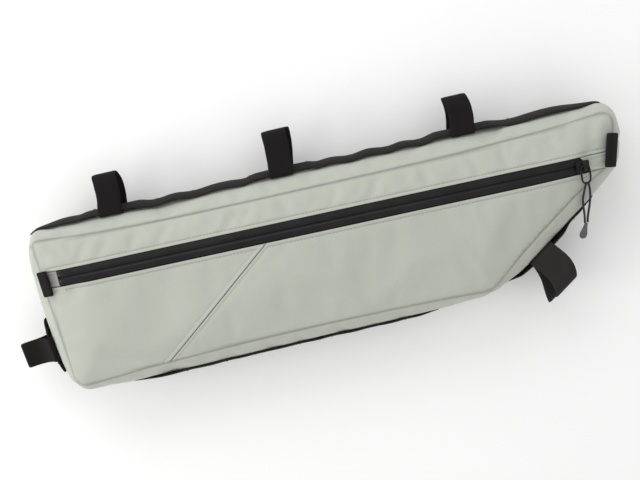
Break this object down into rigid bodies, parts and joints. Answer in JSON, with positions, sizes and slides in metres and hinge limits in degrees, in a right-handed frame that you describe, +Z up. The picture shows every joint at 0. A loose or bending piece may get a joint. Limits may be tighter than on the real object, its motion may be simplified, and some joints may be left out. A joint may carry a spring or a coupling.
{
  "type": "bicycle frame bag",
  "caption": "Long wedge-shaped bicycle frame bag of pale green cloth, lying on its back, with a black coated zip, webbing bands and strap loops.",
  "frame": {"origin": "on the ground under the middle of the bag's box, with the bag lying on its back panel", "axes": "+X along the bag towards its slanted end, +Y towards its top edge with the three loops, +Z up out of its front"},
  "size_m": [0.5196, 0.1844, 0.0652],
  "materials": {
    "cloth": "matt fine weave, pale grey-green",
    "coated_zip": "black coated coil zip, satin",
    "webbing": "charcoal woven webbing",
    "hook_and_loop": "black brushed loop pile",
    "painted_metal": "black lacquer",
    "cord": "black braided cord",
    "rubber": "dark grey moulded end"
  },
  "bodies": {
    "root": {"panel_upper": "cloth", "panel_lower_left": "cloth", "panel_lower_right": "cloth", "zip_end_left": "cloth", "zip_end_right": "cloth", "back_panel": "cloth", "gusset_top": "cloth", "gusset_left": "cloth", "gusset_bottom": "cloth", "gusset_slant": "cloth", "zip_tape": "coated_zip", "band_top": "webbing", "band_left": "webbing", "band_bottom": "webbing", "band_slant": "webbing", "zip_end_tab": "webbing", "finger_loop": "webbing", "strap_top_1": "hook_and_loop", "strap_top_2": "hook_and_loop", "strap_top_3": "hook_and_loop", "strap_seat": "hook_and_loop", "strap_down": "hook_and_loop", "zip_slider": "painted_metal", "pull_ring": "painted_metal", "pull_cord_left": "cord", "pull_cord_right": "cord", "cord_end": "rubber"}
  },
  "joints": []
}
